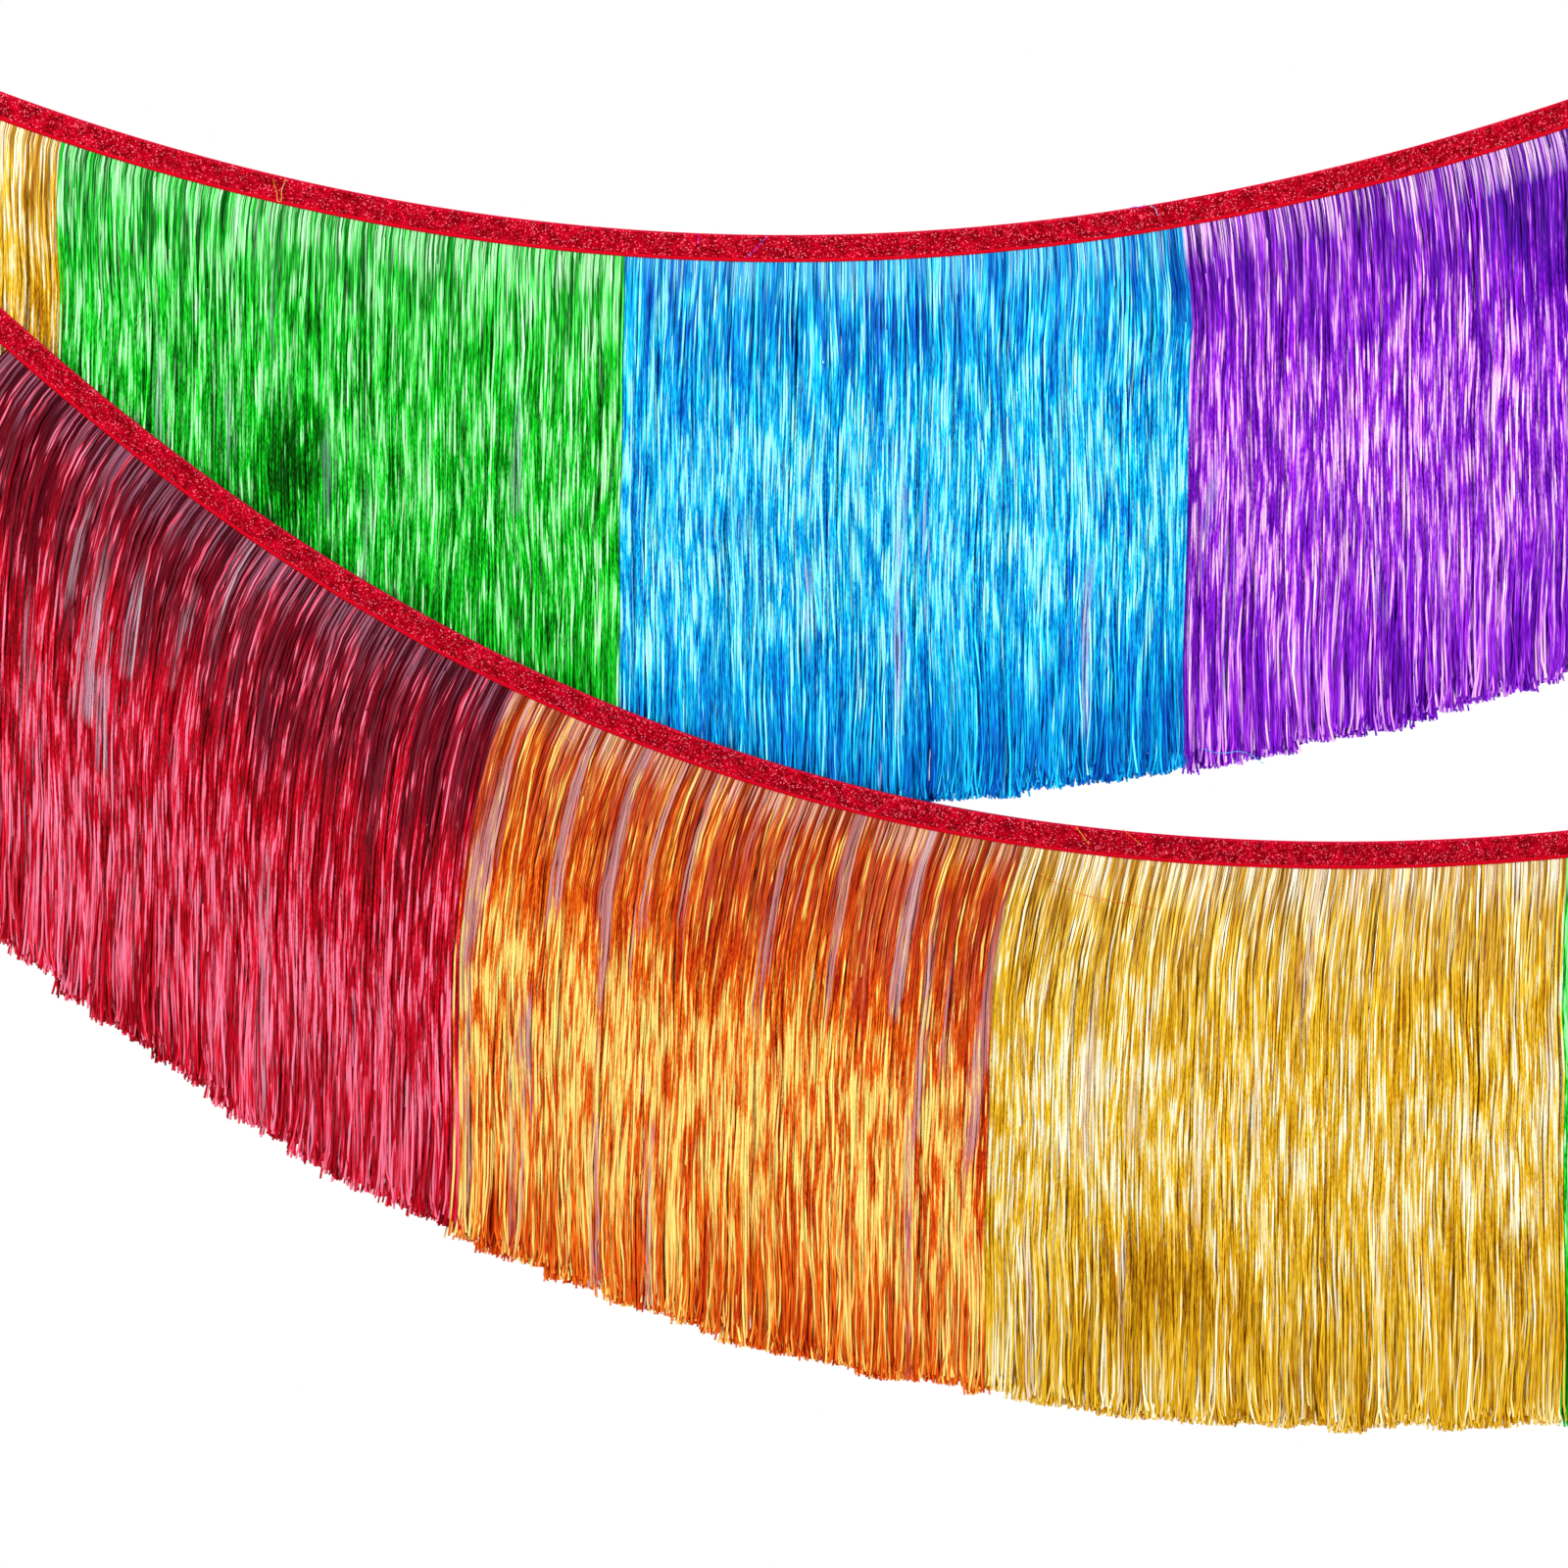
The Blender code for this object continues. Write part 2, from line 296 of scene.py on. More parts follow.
def addItem(name, data):
    item = bpy.data.objects.new(name, data)
    bpy.context.scene.collection.objects.link(item)
    return item


def placeCamera():
    camera = bpy.data.cameras.new("camera")
    camera.sensor_width = view["sensor"]
    camera.lens = view["sensor"] * view["distance"] / view["width"]
    item = addItem("camera", camera)
    item.location = (view["centre"][0], -view["distance"], view["centre"][1])
    item.rotation_euler = (math.pi / 2, 0, 0)
    bpy.context.scene.camera = item


def paintWorld():
    # White to the camera and to foil, and the ambient level on what it lights
    world = bpy.data.worlds.new("studio")
    world.use_nodes = True
    tree = world.node_tree
    background = tree.nodes["Background"]
    background.inputs["Color"].default_value = (1, 1, 1, 1)
    rays = tree.nodes.new("ShaderNodeLightPath")
    seen = maths("MAXIMUM", rays.outputs["Is Camera Ray"], rays.outputs["Is Glossy Ray"])
    seen = maths("MAXIMUM", seen, rays.outputs["Is Transmission Ray"])
    strength = ranged(seen, 0, 1, studio["ambient"], 1)
    tree.links.new(strength, background.inputs["Strength"])
    bpy.context.scene.world = world


def addLamp(name, place, size, power):
    lamp = bpy.data.lights.new(name, "AREA")
    lamp.shape = "RECTANGLE"
    lamp.size, lamp.size_y = size
    lamp.energy = power
    item = addItem(name, lamp)
    item.location = place
    aim = Vector((view["centre"][0], 0, view["centre"][1])) - Vector(place)
    item.rotation_euler = aim.to_track_quat("-Z", "Y").to_euler()


def addFloor():
    bpy.ops.mesh.primitive_circle_add(vertices=96, radius=studio["floorRadius"], fill_type="NGON",
                                      location=studio["floorPlace"])
    floor = bpy.context.object
    floor.name = "floor"
    paper, _, shader = newFinish("floor_paper", *studio["floorShine"])
    shader.inputs["Base Color"].default_value = srgb(*studio["floorTone"])
    floor.data.materials.append(paper)


bpy.context.scene.view_settings.view_transform = "Standard"
placeCamera()
paintWorld()
for name, (place, size, power) in lamps.items():
    addLamp(name, place, size, power)
addFloor()
print("camera and lights ready")


# Growing a piece: a tree runs on a line through the route, and its result is kept as a plain mesh
def setInputs(modifier, values):
    # A tree takes the values that it has inputs for
    for item in modifier.node_group.interface.items_tree:
        if item.item_type == "SOCKET" and item.in_out == "INPUT" and item.name in values:
            modifier[item.identifier] = values[item.name]


def offerInputs(tree, inputs, output):
    for name, kind in inputs:
        tree.interface.new_socket(name, in_out="INPUT", socket_type="NodeSocket" + kind)
    tree.interface.new_socket(output, in_out="OUTPUT", socket_type="NodeSocketGeometry")
    return tree.nodes.new("NodeGroupInput").outputs


def titled(key):
    # stripWidth is offered as Strip Width
    return "".join(" " + letter if letter.isupper() else letter for letter in key).title()


def newTree(name):
    tree = bpy.data.node_groups.new(name, "GeometryNodeTree")
    tree.is_modifier = True
    return tree


def closeTree(geometry, finish):
    tree = treeOf(geometry)
    geometry = shaped(tree, "RealizeInstances", {"Geometry": geometry})
    geometry = shaped(tree, "SetMaterial", {"Geometry": geometry, "Material": finish})
    tree.links.new(geometry, tree.nodes.new("NodeGroupOutput").inputs[0])


def addLine(name, points):
    curve = bpy.data.curves.new(name, "CURVE")
    curve.dimensions = "3D"
    spline = curve.splines.new("POLY")
    spline.points.add(len(points) - 1)
    for point, place in zip(spline.points, points):
        point.co = (*place, 1)
    return addItem(name, curve)


def plainPiece(name, item):
    evaluated = item.evaluated_get(bpy.context.evaluated_depsgraph_get())
    mesh = bpy.data.meshes.new_from_object(evaluated)
    bpy.data.objects.remove(item)
    mesh.name = name
    return addItem(name, mesh)


def growPiece(name, route, tree, values):
    base = addLine(name + "_route", route)
    modifier = base.modifiers.new("grow", "NODES")
    modifier.node_group = tree
    setInputs(modifier, values)
    piece = plainPiece(name, base)
    print(name, len(piece.data.polygons), "faces")
    return piece


# Foil finishes. The tones are dark, deep, plain, bright and glint: the dark and deep ones are painted shade,
# the plain one the foil's colour, and the bright one and the glint painted reflection. The comb is the row of
# strips right under the tape, dark, deep, bright and pale, painted highlight and shade on strips that lie
# flat. The dull zone below it is painted shade, where the strips leave the tape square and face darker
# surroundings. Thin is film seen alone against the light: the limits say how rare it is at the top and
# further down, and films lists the clear places, as (distance along the swag, width, first depth, last
# depth). Shades are painted shade and light: they lift or lower the tone and the number of glints with the
# depth below the tape, columns do so in tall bands, and patches at a place
foils = {
    "gold": {
        "columns": 0.40,
        "tones": [(160, 96, 0), (212, 152, 8), (236, 187, 32), (252, 218, 90), (255, 252, 224)],
        "comb": [(172, 112, 24), (214, 164, 66), (238, 214, 164), (255, 252, 236)],
        "combReach": 0.005, "combShare": 0.8,
        "haze": (206, 160, 92), "dullShadeReach": 0.030, "dullShadeShare": 0.1, "hairs": 0.5,
        "thin": (222, 190, 160), "thinLimits": (0.20, 0.22),
        "films": [(0.757, 0.0030, 0.020, 0.120), (0.769, 0.0020, 0.150, 0.204),
                  (0.793, 0.0022, 0.060, 0.150)],
        "shades": [(0.0, 0.48), (0.10, 0.47), (0.20, 0.46), (0.32, 0.59), (0.62, 0.59),
                   (0.84, 0.49), (1.0, 0.49)],
        "patches": [((0.648, -0.548), (0.030, 0.030), -0.26), ((0.615, -0.470), (0.030, 0.040), 0.14)],
    },
    "green": {
        "columns": 0.30,
        "tones": [(0, 62, 0), (0, 136, 8), (8, 208, 30), (92, 250, 106), (186, 255, 190)],
        "comb": [(0, 92, 8), (0, 172, 28), (66, 232, 86), (206, 255, 208)],
        "combReach": 0.004, "combShare": 0.7,
        "haze": (60, 170, 90), "dullShadeReach": 0.020, "dullShadeShare": 0.1, "hairs": 0.5,
        "thin": (112, 168, 140), "thinLimits": (0.24, 0.26),
        "films": [(0.396, 0.0016, 0.080, 0.170), (0.452, 0.0020, 0.020, 0.100)],
        "shades": [(0.0, 0.50), (0.12, 0.52), (0.30, 0.54), (0.45, 0.50), (0.90, 0.42), (1.0, 0.38)],
        "patches": [((0.328, -0.250), (0.018, 0.026), -0.30)],
    },
    "blue": {
        "columns": 0.40,
        "tones": [(0, 68, 174), (0, 120, 212), (0, 187, 248), (60, 230, 254), (168, 252, 255)],
        "comb": [(0, 72, 176), (0, 126, 216), (40, 204, 246), (190, 255, 255)],
        "combReach": 0.004, "combShare": 0.4,
        "haze": (10, 104, 206), "dullShadeReach": 0.020, "dullShadeShare": 0.1, "hairs": 0.3,
        "thin": (140, 164, 224), "thinLimits": (0.30, 0.27),
        "films": [(0.589, 0.0024, 0.040, 0.190), (0.599, 0.0014, 0.060, 0.150),
                  (0.655, 0.0020, 0.120, 0.190)],
        "shades": [(0.0, 0.42), (0.12, 0.47), (0.26, 0.60), (0.75, 0.57), (0.88, 0.38), (1.0, 0.18)],
        "patches": [((0.540, -0.206), (0.040, 0.018), -0.14)],
    },
    "purple": {
        "columns": 0.35,
        "tones": [(62, 0, 140), (106, 4, 188), (150, 32, 222), (210, 104, 242), (255, 202, 255)],
        "comb": [(74, 0, 130), (124, 22, 186), (206, 120, 226), (255, 220, 250)],
        "combReach": 0.004, "combShare": 0.7,
        "haze": (80, 4, 146), "dullShadeReach": 0.030, "dullShadeShare": 0.2, "hairs": 0.1,
        "thin": (150, 126, 190), "thinLimits": (0.27, 0.26),
        "films": [(0.705, 0.0018, 0.110, 0.190), (0.760, 0.0014, 0.120, 0.180)],
        "shades": [(0.0, 0.42), (0.08, 0.38), (0.14, 0.45), (0.22, 0.59), (0.45, 0.57),
                   (0.80, 0.53), (1.0, 0.44)],
        "patches": [((0.782, -0.160), (0.020, 0.050), -0.26)],
    },
    "red": {
        "columns": 0.70,
        "tones": [(92, 0, 6), (148, 0, 14), (204, 0, 30), (238, 26, 62), (255, 132, 164)],
        "comb": [(66, 4, 20), (88, 12, 32), (108, 32, 52), (150, 92, 114)],
        "combReach": 0.006, "combShare": 0.9,
        "haze": (98, 2, 24), "dullShadeReach": 0.060, "dullShadeShare": 0.8, "hairs": 0.25,
        "thin": (186, 132, 154), "thinLimits": (0.22, 0.25),
        "films": [(0.375, 0.0060, 0.012, 0.100), (0.392, 0.0030, 0.012, 0.060), (0.411, 0.0036, 0.010, 0.050),
                  (0.348, 0.0024, 0.080, 0.190), (0.455, 0.0018, 0.090, 0.204)],
        "shades": [(0.0, 0.34), (0.15, 0.36), (0.45, 0.44), (0.65, 0.58), (0.90, 0.70), (1.0, 0.60)],
        "patches": [],
    },
    "orange": {
        "columns": 0.60,
        "tones": [(158, 22, 0), (206, 56, 2), (238, 102, 10), (252, 162, 46), (255, 234, 128)],
        "comb": [(120, 36, 16), (174, 66, 30), (212, 132, 112), (240, 200, 176)],
        "combReach": 0.0035, "combShare": 0.65,
        "haze": (178, 48, 12), "dullShadeReach": 0.045, "dullShadeShare": 0.45, "hairs": 0.2,
        "thin": (190, 128, 132), "thinLimits": (0.11, 0.20),
        "films": [(0.534, 0.0034, 0.010, 0.204), (0.552, 0.0024, 0.100, 0.200),
                  (0.700, 0.0030, 0.006, 0.100)],
        "shades": [(0.0, 0.34), (0.20, 0.33), (0.33, 0.54), (0.48, 0.72), (0.75, 0.70),
                   (0.90, 0.65), (1.0, 0.46)],
        "patches": [((0.583, -0.500), (0.010, 0.050), -0.24)],
    },
}
foilLook = {
    # Roughness, metallic and specular; the roughness range; the bump's strength and height
    "shine": (0.30, 0.75, 0.2), "skin": (0.22, 0.42), "bump": (0.3, 0.0002),
    "reach": 0.2, "glow": 0.5, "ground": 0.24, "tonePlaces": (0.15, 0.35, 0.57, 0.84),
    # Each strip's own draws: its lane in the noise, its pace and its painted light and shade near the tape
    "laneSpread": 7000.0, "paceDraw": 13.0, "slowPace": 0.5, "fastPace": 1.7,
    "toneDraw": 29.0, "ownSpan": 0.030, "ownLight": 0.7,
    # Patterns by the metre of depth, or by their width along the tape
    "dashRate": 35.0, "rootRate": 50.0, "rootSpan": 0.020, "familyWidth": 0.0050,
    "columnWidth": 0.0060, "columnRate": 8.0, "columnSeed": 9.0, "crumbSpread": 1.7, "crumbRate": 380.0,
    "dashes": 1.0, "families": 0.5, "crumbs": 0.55, "turn": 0.3, "taper": 0.22, "patchRim": (0.2, 1.3),
    # Painted shade of the dull zone, and the comb
    "hairPlaces": (0.4, 1.0), "dullShadeFamilies": -0.6, "dullShadeColumns": 2.4, "dullShadeCore": 0.35,
    "combPlaces": (0.30, 0.46, 0.56, 0.72), "combRag": -0.5,
    # Glints
    "glintLimit": 0.045, "glintSoft": 0.035, "glintShare": 0.92, "glintShade": 0.55, "glintFamilies": 0.22,
    "glintTurn": 0.08, "glintOwn": 0.16, "glintTaper": 0.09, "coreCrumbs": 0.2, "coreSpan": 0.16,
    # Thin places
    "streakRate": 150.0, "streakFall": 6.0, "streakSeed": 5.0, "streakOwn": 0.05, "thinDepths": (0.04, 0.10),
    "thinSoft": 0.04, "thinShare": 0.85, "thinByGlint": (0.9, 0.35), "thinDashes": 0.8,
    "thinPlaces": (0.2, 1.0), "thinPale": 0.8, "filmCore": 0.25, "filmRim": 0.6, "filmTaper": 0.3,
}


def streak(along, depth, film):
    # Share of one long clear place, with soft sides and tapered ends
    place, width, first, last = film
    side = maths("ABSOLUTE", minus(along, place))
    side = ranged(side, foilLook["filmCore"] * width, foilLook["filmRim"] * width, 1.0, 0.0)
    taper = foilLook["filmTaper"] * (last - first)
    top = ranged(depth, first, first + taper, 0.0, 1.0)
    bottom = ranged(depth, last - taper / 3, last, 1.0, 0.0)
    return times(side, times(top, bottom))


def foilFinish(name, foil):
    look = foilLook
    material, tree, shader = newFinish(name + "_foil", *look["shine"])
    chance = attribute(tree, "stripChance")
    depth = attribute(tree, "stripDepth")
    turn = minus(attribute(tree, "stripTurn"), 0.5)
    across = attribute(tree, "stripAcross")
    along = attribute(tree, "stripAlong")
    place = objectPlace(tree)

    # Dashes are a strip's own, closer together near the tape, and families are shared by neighbours. Both lay
    # out the painted shade and reflections on the foil
    lane = times(chance, look["laneSpread"])
    crowd = easing(divided(depth, look["rootSpan"]))
    crowd = times(crowd, look["rootRate"] * look["rootSpan"])
    run = timesPlus(depth, look["dashRate"], crowd)
    draw = maths("FRACT", times(chance, look["paceDraw"]))
    pace = ranged(draw, 0.0, 1.0, look["slowPace"], look["fastPace"])
    dashes = noiseAt(lane, times(run, pace), 0.0, 0.0)
    families = noiseAt(divided(along, look["familyWidth"]), run, 0.0)
    fall = times(depth, look["columnRate"])
    columns = noiseAt(divided(along, look["columnWidth"]), fall, look["columnSeed"])
    # Crumbs are fine specks: painted light and shade in the colour, and the height of the bump and roughness
    fall = times(depth, look["crumbRate"])
    crumbs = noiseAt(times(lane, look["crumbSpread"]), fall, across, 0.0)

    # Shades and patches: painted shade and light by the depth below the tape, in tall columns and at places
    glow = ramped(divided(depth, look["reach"]), foil["shades"])
    shade = times(columns, foil["columns"])
    for (x, z), (wide, tall), change in foil["patches"]:
        offset = vectors("SUBTRACT", place, (x, 0, z))
        offset = vectors("MULTIPLY", offset, (1 / wide, 0, 1 / tall))
        patch = ranged(vectors("LENGTH", offset), *look["patchRim"], change, 0.0)
        shade = plus(shade, patch)
    # Painted light and shade of each strip near the tape, lighter on some strips and darker on others
    ownLight = minus(maths("FRACT", times(chance, look["toneDraw"])), 0.5)
    ownLight = times(ownLight, fading(divided(depth, look["ownSpan"])))
    value = plus(timesPlus(glow, look["glow"], look["ground"]), shade)
    # Dashes, families and crumbs set the painted shade and reflection, and turn paints a strip lighter where
    # its face is turned to the front
    for part, share in ((dashes, "dashes"), (ownLight, "ownLight"), (families, "families"),
                        (crumbs, "crumbs"), (turn, "turn")):
        value = timesPlus(part, look[share], value)
    # Painted shade towards each strip's edges
    value = timesPlus(times(across, across), -look["taper"], value)
    colour = ramped(value, list(zip(look["tonePlaces"], foil["tones"])))

    # The dull zone is painted shade, with pale hairs in it, and over it the comb of painted highlight and
    # shade
    comb = plus(dashes, chance)
    hairs = ranged(comb, *look["hairPlaces"], 0.0, foil["hairs"])
    dullShadeTone = mixed(hairs, srgb(*foil["haze"]), srgb(*foil["comb"][3]))
    reach = timesPlus(families, look["dullShadeFamilies"] * foil["dullShadeReach"], depth)
    reach = timesPlus(columns, look["dullShadeColumns"] * foil["dullShadeReach"], reach)
    dullShadeShare = ranged(reach, look["dullShadeCore"] * foil["dullShadeReach"], foil["dullShadeReach"], foil["dullShadeShare"], 0.0)
    colour = mixed(dullShadeShare, colour, dullShadeTone)
    combTone = ramped(comb, list(zip(look["combPlaces"], foil["comb"])))
    reach = timesPlus(chance, look["combRag"] * foil["combReach"], depth)
    colour = mixed(ranged(reach, 0.0, foil["combReach"], foil["combShare"], 0.0), colour, combTone)

    # Glints are needles with tapered ends, more of them where the shade is light
    shade = minus(plus(glow, shade), 0.5)
    level = timesPlus(shade, look["glintShade"], dashes)
    for part, share in ((families, "glintFamilies"), (turn, "glintTurn"), (ownLight, "glintOwn")):
        level = timesPlus(part, look[share], level)
    level = timesPlus(maths("ABSOLUTE", across), -look["glintTaper"], level)
    low = look["glintLimit"]
    glint = ranged(level, low, low + look["glintSoft"], 0.0, look["glintShare"])
    core = timesPlus(crumbs, look["coreCrumbs"], level)
    core = ranged(core, low, low + look["coreSpan"], 0.0, 1.0)
    colour = mixed(glint, colour, mixed(core, *[srgb(*tone) for tone in foil["tones"][3:]]))

    # Thin places: long streaks where a single film lets the light through
    fall = times(depth, look["streakFall"])
    streaks = noiseAt(times(along, look["streakRate"]), fall, look["streakSeed"], 0.0)
    streaks = timesPlus(minus(chance, 0.5), look["streakOwn"], streaks)
    limit = ranged(depth, *look["thinDepths"], *foil["thinLimits"])
    thinShare = ranged(minus(streaks, limit), 0.0, look["thinSoft"], 0.0, look["thinShare"])
    for film in foil["films"]:
        thinShare = maths("MAXIMUM", thinShare, streak(along, depth, film))
    thinShare = times(thinShare, ranged(glint, 0.0, 1.0, *look["thinByGlint"]))
    pale = timesPlus(dashes, look["thinDashes"], chance)
    pale = ranged(pale, *look["thinPlaces"], 0.0, look["thinPale"])
    paleTone = srgb(*[(part + 255) // 2 for part in foil["thin"]])  # halfway to white
    colour = mixed(thinShare, colour, mixed(pale, srgb(*foil["thin"]), paleTone))
    closeFinish(shader, colour, crumbs, *look["bump"], look["skin"])
    return material


# Fringe: every strip leaves the tape squarely, turns plumb and twists on its way down. Each value here is an
# input of the tree. Rates and falls say how fast a pattern changes by the metre, along the tape and down it
fringe = {
    "strips": 2300, "segments": 14, "stripWidth": 0.0008, "stripThickness": 0.00006, "tipReach": 0.008,
    "tipWidth": 0.12, "shuffle": 0.0005, "endCrowding": 0.095, "raggedness": 0.0019,
    "bundleWidth": 0.012, "bundleRate": 45.0, "bundleChange": 2.5, "bundleStep": 0.0017, "levelCut": 0.65,
    "leastDroop": 0.85, "mostDroop": 1.15, "layerDepth": 0.0022, "leastLayer": 0.15, "layerRate": 80.0,
    "rootDepth": 0.00045, "leastRoot": 0.7, "mostRoot": 1.2, "rootHold": 0.002, "freeReach": 0.030,
    "clumping": 0.0030, "clumpRate": 110.0, "clumpFall": 9.0, "flow": 0.0050, "flowRate": 22.0,
    "flowFall": 16.0, "wander": 0.0042, "wanderSpread": 3.17, "wanderFall": 20.0, "wanderGrowth": 3.0,
    "crossing": 0.0012, "crossRate": 45.0, "seamShare": 0.04, "seamWander": 0.3, "bulgeSize": 0.014,
    "leanReach": 0.034, "splay": 0.0020, "splayReach": 0.012, "twists": 1.8, "twistRate": 0.9, "turn": 0.60,
}


def foilTree():
    tree = newTree("foilFringe")
    sizes = [(titled(key), "Int" if isinstance(value, int) else "Float") for key, value in fringe.items()]
    panel = [(name, "Float") for name in (
        "Start", "Length", "First Length", "Last Length", "First Droop", "Last Droop", "First Lean",
        "Last Lean", "Bulge Place", "Bulge Depth", "Bulge Shift", "Swag Seed")]
    others = [("Seed", "Int"), ("Foil", "Material")]
    given = offerInputs(tree, [("Edge", "Geometry"), *sizes, *panel, *others], "Fringe")

    def chance(low, high, offset, label=None):
        # One draw for each strip, the same all along it
        return drawn(tree, low, high, plus(given["Seed"], float(offset)), label=label)

    def alongPanel(name):
        # A value that changes from the panel's first strip to its last one
        return ranged(panelShare, 0.0, 1.0, given["First " + name], given["Last " + name])

    # Roots along the tape's edge, shuffled a little so that no row shows
    run = addNode(tree, "GeometryNodeSplineParameter").outputs["Length"]
    edge = keep(given["Edge"], "rootRun", plus(run, given["Start"]))
    inputs = {"Curve": edge, "Count": given["Strips"]}
    roots = addNode(tree, "GeometryNodeCurveToPoints", inputs, mode="COUNT").outputs
    points = keep(roots["Points"], "rootWay", roots["Tangent"], "FLOAT_VECTOR")
    shuffle = chance(times(given["Shuffle"], -1.0), given["Shuffle"], 1)
    shuffle = scaled(roots["Tangent"], shuffle)
    points = shaped(tree, "SetPosition", {"Geometry": points, "Offset": shuffle})
    place = shaped(tree, "InputPosition")
    points = keep(points, "rootPlace", place, "FLOAT_VECTOR")
    points = keep(points, "stripChance", chance(0.0, 1.0, 2))
    points = keep(points, "stripNumber", shaped(tree, "InputIndex"), "INT")
    line = shaped(tree, "CurvePrimitiveLine", {"Start": (0, 0, 0), "End": (0, 0, -1)})
    line = shaped(tree, "ResampleCurve", {"Curve": line, "Count": plus(given["Segments"], 1.0)})
    strips = shaped(tree, "InstanceOnPoints", {"Points": points, "Instance": line})
    strips = shaped(tree, "RealizeInstances", {"Geometry": strips})

    # A strip's points stand closer together at its root and its tip
    number = recall(tree, "stripNumber", "INT")
    rootPlace = recall(tree, "rootPlace", "FLOAT_VECTOR")
    rootRun = recall(tree, "rootRun")
    rootWay = recall(tree, "rootWay", "FLOAT_VECTOR")
    share = tree.nodes.new("GeometryNodeSplineParameter").outputs["Factor"]
    ripple = maths("SINE", times(share, 2 * math.pi))
    share = minus(share, times(ripple, given["End Crowding"]))
    panelShare = divided(minus(rootRun, given["Start"]), given["Length"])
    length = timesPlus(chance(-1.0, 1.0, 3, number), given["Raggedness"], alongPanel("Length"))

    # Bundles are cut level, each a little longer or shorter than the next
    uneven = noiseAt(times(rootRun, given["Bundle Rate"]), given["Seed"], 0.0)
    bundle = timesPlus(uneven, given["Bundle Change"], divided(rootRun, given["Bundle Width"]))
    whole = maths("FLOOR", bundle)
    step = times(chance(-1.0, 1.0, 9, whole), given["Bundle Step"])
    offCentre = minus(minus(bundle, whole), 0.5)
    level = times(times(offCentre, given["Bundle Width"]), partOf(rootWay, 2))
    length = plus(length, timesPlus(level, given["Level Cut"], step))
    length = plus(length, given["Root Hold"])
    depth = times(share, length)
    left = minus(length, depth)
    outside = maths("MAXIMUM", minus(depth, given["Root Hold"]), 0.0)

    # Square to the tape at first, then plumb
    droop = times(alongPanel("Droop"), chance(given["Least Droop"], given["Most Droop"], 4, number))
    turned = times(droop, easing(divided(outside, droop)))
    held = maths("MINIMUM", depth, given["Root Hold"])
    square = vectors("CROSS_PRODUCT", (0, 1, 0), rootWay)
    strip = vectors("ADD", rootPlace, scaled(square, plus(turned, held)))
    strip = vectors("ADD", strip, combined(0.0, 0.0, minus(turned, outside)))

    # Layers: half of the strips hang before the heading, half behind it
    side = maths("SIGN", chance(-1.0, 1.0, 5, number))
    layer = times(chance(given["Least Layer"], 1.0, 6, number), given["Layer Depth"])
    spread = easing(times(outside, given["Layer Rate"]))
    rootLayer = ranged(layer, 0.0, given["Layer Depth"], given["Least Root"], given["Most Root"])
    rootLayer = times(given["Root Depth"], rootLayer)
    layer = times(minus(layer, rootLayer), spread)
    away = times(side, plus(layer, rootLayer))

    # Neighbours gather into clumps and flow together, and each strip wanders and crosses others on its own
    clump = noiseAt(times(rootRun, given["Clump Rate"]), times(outside, given["Clump Fall"]),
                    given["Swag Seed"])
    flow = noiseAt(times(rootRun, given["Flow Rate"]), times(outside, given["Flow Fall"]), given["Swag Seed"])
    shift = times(clump, given["Clumping"])
    shift = timesPlus(flow, given["Flow"], shift)
    key = combined(times(number, given["Wander Spread"]), times(outside, given["Wander Fall"]),
                   plus(given["Seed"], 0.5))
    grown = timesPlus(outside, given["Wander Growth"], 1.0)
    bend = times(noise(key, 1.0), times(given["Wander"], grown))
    cross = easing(times(outside, given["Cross Rate"]))
    cross = times(cross, chance(-1.0, 1.0, 10, number))
    bend = timesPlus(cross, given["Crossing"], bend)
    inward = maths("MINIMUM", panelShare, minus(1.0, panelShare))
    inward = ranged(inward, 0.0, given["Seam Share"], given["Seam Wander"], 1.0)
    shift = timesPlus(bend, inward, shift)
    shift = times(shift, ranged(outside, 0.0, given["Free Reach"], 0.0, 1.0))

    # The bulge at one seam, the lean of the whole panel and the splay of the tips
    offset = combined(minus(rootRun, given["Bulge Place"]), minus(outside, given["Bulge Depth"]), 0.0)
    offset = divided(vectors("LENGTH", offset), given["Bulge Size"])
    shift = timesPlus(fading(times(offset, offset)), given["Bulge Shift"], shift)
    leant = easing(divided(outside, given["Lean Reach"]))
    shift = minus(shift, times(alongPanel("Lean"), leant))
    tip = ranged(left, 0.0, given["Splay Reach"], 1.0, 0.0)
    splay = times(given["Splay"], chance(-1.0, 1.0, 7, number))
    shift = timesPlus(times(tip, tip), splay, shift)
    strip = vectors("ADD", strip, combined(shift, away, 0.0))
    strips = shaped(tree, "SetPosition", {"Geometry": strips, "Position": strip})

    # Twist: the strip's face swings about its length, by noise taken from another place than the wander's
    otherPlace = (0.0, 40.0, 9.0)
    sway = noise(vectors("ADD", key, otherPlace), given["Twist Rate"])
    angle = timesPlus(sway, times(given["Twists"], 2 * math.pi), chance(0.0, 2 * math.pi, 8, number))
    angle = times(maths("SINE", angle), given["Turn"])
    face = combined(maths("SINE", angle), maths("COSINE", angle), 0.0)
    strips = keep(strips, "stripDepth", outside)
    strips = keep(strips, "stripAlong", rootRun)
    strips = keep(strips, "stripTurn", maths("COSINE", angle))
    strips = shaped(tree, "SetCurveNormal", {"Curve": strips, "Normal": face}, mode="FREE")
    taper = ranged(left, 0.0, given["Tip Reach"], given["Tip Width"], 1.0)
    strips = shaped(tree, "SetCurveRadius", {"Curve": strips, "Radius": taper})

